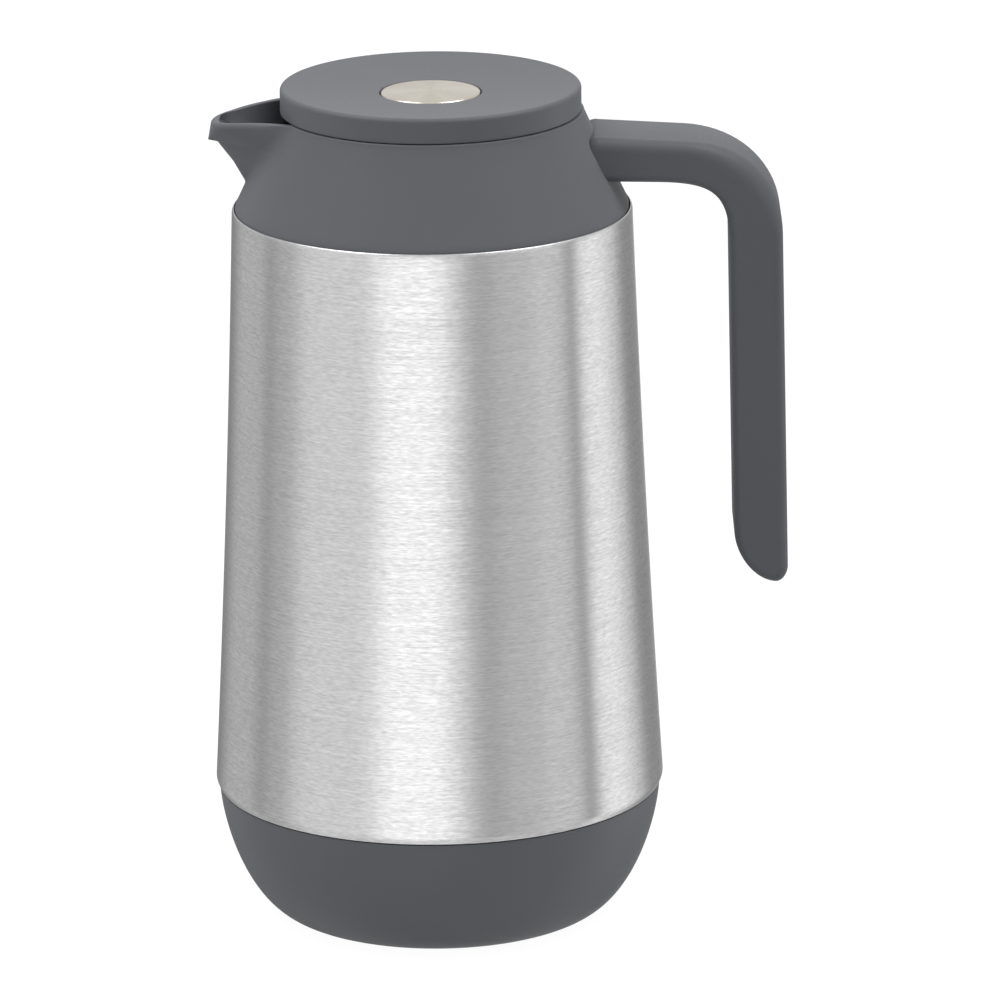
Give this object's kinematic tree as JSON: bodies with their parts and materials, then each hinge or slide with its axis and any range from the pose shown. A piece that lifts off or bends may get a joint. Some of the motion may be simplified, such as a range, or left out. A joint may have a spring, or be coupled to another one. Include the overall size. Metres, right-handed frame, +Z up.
{
  "type": "thermal jug",
  "caption": "Tapered insulated jug with a steel sleeve, pouring spout, screw-in lid with a central push button that opens the valve, and an open-ended side handle.",
  "frame": {"origin": "centre of the foot ring, on the table plane", "axes": "+Z up along the jug's axis, -X towards the spout, +X towards the handle"},
  "size_m": [0.1694, 0.1324, 0.2496],
  "materials": {
    "sleeve_steel": "fine horizontal brushing, satin",
    "grey_plastic": "smooth matt cool grey moulding",
    "inner_plastic": "matt dark grey moulding",
    "button_steel": "circular brushing, bright, slightly warm",
    "silvered_glass": "silvered glass",
    "spacer": "matt light grey",
    "silicone": "matt translucent silicone",
    "black_rubber": "matt black rubber",
    "plain_steel": "drawn steel wire and rod"
  },
  "bodies": {
    "jug": {"body_sleeve": "sleeve_steel", "base_cup": "grey_plastic", "base_ring": "inner_plastic", "collar": "grey_plastic", "neck_insert": "inner_plastic", "handle": "grey_plastic", "handle_screws": "plain_steel", "flask_outer": "silvered_glass", "flask_inner": "silvered_glass", "flask_pads": "spacer", "flask_cushion": "black_rubber", "neck_gasket": "silicone"},
    "seal_ring": {"stopper_gasket": "silicone"},
    "lid": {"lid_cover": "grey_plastic", "stopper_body": "inner_plastic", "stopper_deck": "inner_plastic"},
    "button": {"button_cap": "button_steel", "button_plunger": "inner_plastic", "button_spring": "plain_steel", "valve_stem": "plain_steel", "stem_ring": "black_rubber", "valve_plug": "inner_plastic", "valve_seal": "silicone", "stem_nut": "plain_steel"}
  },
  "joints": [
    {"name": "lid_lift", "type": "slide", "parent": "jug", "child": "seal_ring", "axis": [0, 0, 1], "range_m": [0, 0.054]},
    {"name": "lid_turn", "type": "hinge", "parent": "seal_ring", "child": "lid", "pos_m": [0, 0, 0.2], "axis": [0, 0, 1], "range_deg": [0, 810]},
    {"name": "button_press", "type": "slide", "parent": "lid", "child": "button", "axis": [0, 0, -1], "range_m": [0, 0.004], "stiffness_N_per_m": 800, "springref_m": -0.003, "deforming": ["button_spring"]}
  ],
  "couplings": [
    {"joint": "lid_lift", "follows": "lid_turn", "m_per_rad": 0.0038197}
  ]
}
